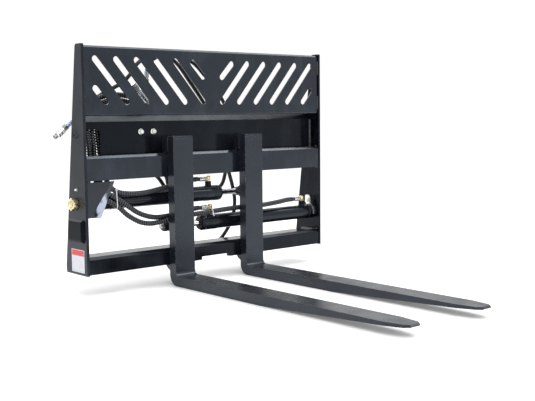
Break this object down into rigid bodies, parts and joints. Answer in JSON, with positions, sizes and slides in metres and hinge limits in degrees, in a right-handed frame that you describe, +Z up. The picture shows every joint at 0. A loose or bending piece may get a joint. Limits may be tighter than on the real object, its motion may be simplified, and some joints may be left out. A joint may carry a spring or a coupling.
{
  "type": "pallet fork attachment",
  "caption": "Loader pallet fork frame with slotted guard panel, two fork bars and two L-shaped forks positioned sideways by hydraulic cylinders.",
  "frame": {"origin": "middle of the bottom of the box around the part without its two loader hoses, on the floor under the fork blades", "axes": "+X across the width, towards the side without the hose guard; -Y along the forks to their tips; +Y towards the loader; +Z up"},
  "size_m": [1.3779, 1.4955, 0.998],
  "materials": {
    "black_paint": "gloss black paint",
    "fork_paint": "satin black paint, worn at the edges",
    "zinc_plate": "bright zinc plate",
    "yellow_zinc": "yellow passivated zinc plate",
    "chrome_rod": "hard chrome, ground",
    "plain_steel": "turned steel",
    "hose_rubber": "matt rubber",
    "decal_film": "printed film",
    "valve_body": "machined block"
  },
  "bodies": {
    "frame": {"side_plate_left": "black_paint", "side_plate_right": "black_paint", "guard_panel": "black_paint", "upper_fork_bar": "black_paint", "lower_fork_bar": "black_paint", "quick_attach_top_plate": "black_paint", "quick_attach_bottom_plate": "black_paint", "hose_guard": "black_paint", "rod_cover_left": "black_paint", "rod_cover_right": "black_paint", "upper_barrel": "black_paint", "upper_head": "black_paint", "upper_base_stud": "black_paint", "lower_barrel": "black_paint", "lower_head": "black_paint", "lower_base_stud": "black_paint", "whip_hose_rest": "black_paint", "upper_keeper_plate": "zinc_plate", "lower_keeper_plate": "zinc_plate", "upper_keeper_bolt": "zinc_plate", "lower_keeper_bolt": "zinc_plate", "valve_bolt_1": "zinc_plate", "valve_bolt_2": "zinc_plate", "coupler_a": "zinc_plate", "coupler_b": "zinc_plate", "upper_base_nut": "yellow_zinc", "lower_base_nut": "yellow_zinc", "upper_gland_fitting": "yellow_zinc", "upper_base_fitting": "yellow_zinc", "lower_gland_fitting": "yellow_zinc", "lower_base_fitting": "yellow_zinc", "hose_upper_base": "hose_rubber", "hose_upper_gland": "hose_rubber", "hose_lower_gland": "hose_rubber", "hose_lower_base": "hose_rubber", "whip_hose_a": "hose_rubber", "whip_hose_b": "hose_rubber", "decal_plate": "decal_film", "flow_divider_valve": "valve_body"},
    "left_fork": {"fork_left": "fork_paint", "upper_hook_left": "fork_paint", "lower_hook_left": "fork_paint", "lower_rod_lug": "black_paint", "lower_rod": "chrome_rod", "lower_piston": "plain_steel", "lower_rod_nut": "black_paint"},
    "right_fork": {"fork_right": "fork_paint", "upper_hook_right": "fork_paint", "lower_hook_right": "fork_paint", "upper_rod_lug": "black_paint", "upper_rod": "chrome_rod", "upper_piston": "plain_steel", "upper_rod_nut": "black_paint"}
  },
  "joints": [
    {"name": "left_fork_slide", "type": "slide", "parent": "frame", "child": "left_fork", "axis": [-1, 0, 0], "range_m": [-0.09, 0.36]},
    {"name": "right_fork_slide", "type": "slide", "parent": "frame", "child": "right_fork", "axis": [1, 0, 0], "range_m": [-0.09, 0.36]}
  ],
  "couplings": [
    {"joint": "right_fork_slide", "follows": "left_fork_slide", "ratio": 1}
  ]
}
